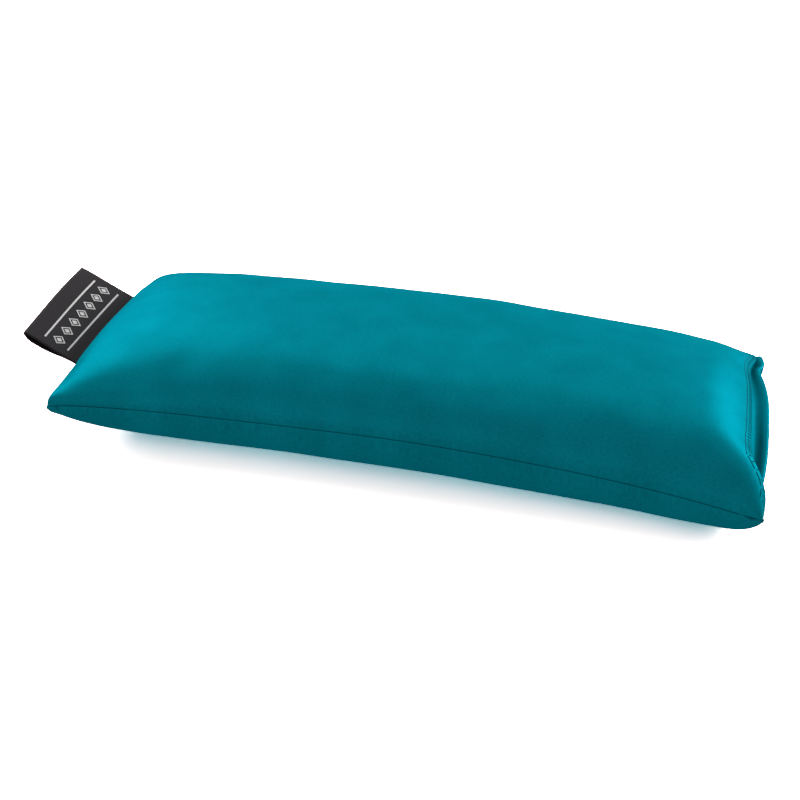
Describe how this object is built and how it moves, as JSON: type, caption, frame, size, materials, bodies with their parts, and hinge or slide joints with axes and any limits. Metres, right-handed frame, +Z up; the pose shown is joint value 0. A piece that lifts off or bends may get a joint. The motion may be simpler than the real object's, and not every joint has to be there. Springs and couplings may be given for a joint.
{
  "type": "bolster pillow",
  "caption": "Small seed-filled bolster pillow: a satin envelope cover over a sewn inner bag, with a folded label loop at the closed end.",
  "frame": {"origin": "middle of the flat patch that the pillow rests on", "axes": "+X from the closed end to the mouth, +Y across the pillow, +Z up"},
  "size_m": [0.2627, 0.1, 0.0387],
  "materials": {
    "cover_satin": "satin",
    "cover_thread": "satin",
    "label_ribbon": "satin",
    "bag_cotton": "matte",
    "bag_thread": "matte",
    "seeds": "matte"
  },
  "bodies": {
    "cover": {"cover_top_panel": "cover_satin", "cover_bottom_panel": "cover_satin", "cover_near_seam_thread": "cover_thread", "cover_far_seam_thread": "cover_thread", "cover_closed_seam_thread": "cover_thread", "mouth_hem_thread_outer": "cover_thread", "mouth_hem_thread_inner": "cover_thread", "flap_hem_thread": "cover_thread"},
    "label": {"label_loop": "label_ribbon"},
    "bag": {"bag_top_panel": "bag_cotton", "bag_bottom_panel": "bag_cotton", "bag_seam_thread": "bag_thread", "bag_closing_thread": "bag_thread", "seed_fill": "seeds"}
  },
  "joints": [
    {"name": "bag_slide", "type": "slide", "parent": "cover", "child": "bag", "axis": [1, 0, 0], "range_m": [0, 0.25], "deforming": ["cover_top_panel", "cover_bottom_panel", "cover_near_seam_thread", "cover_far_seam_thread", "mouth_hem_thread_outer", "mouth_hem_thread_inner", "flap_hem_thread"]},
    {"name": "label_swing", "type": "hinge", "parent": "cover", "child": "label", "pos_m": [-0.12085, 0, 0.02], "axis": [0, 1, 0], "range_deg": [-70, 55], "stiffness_Nm_per_rad": 0.002, "springref_deg": 1.15}
  ]
}
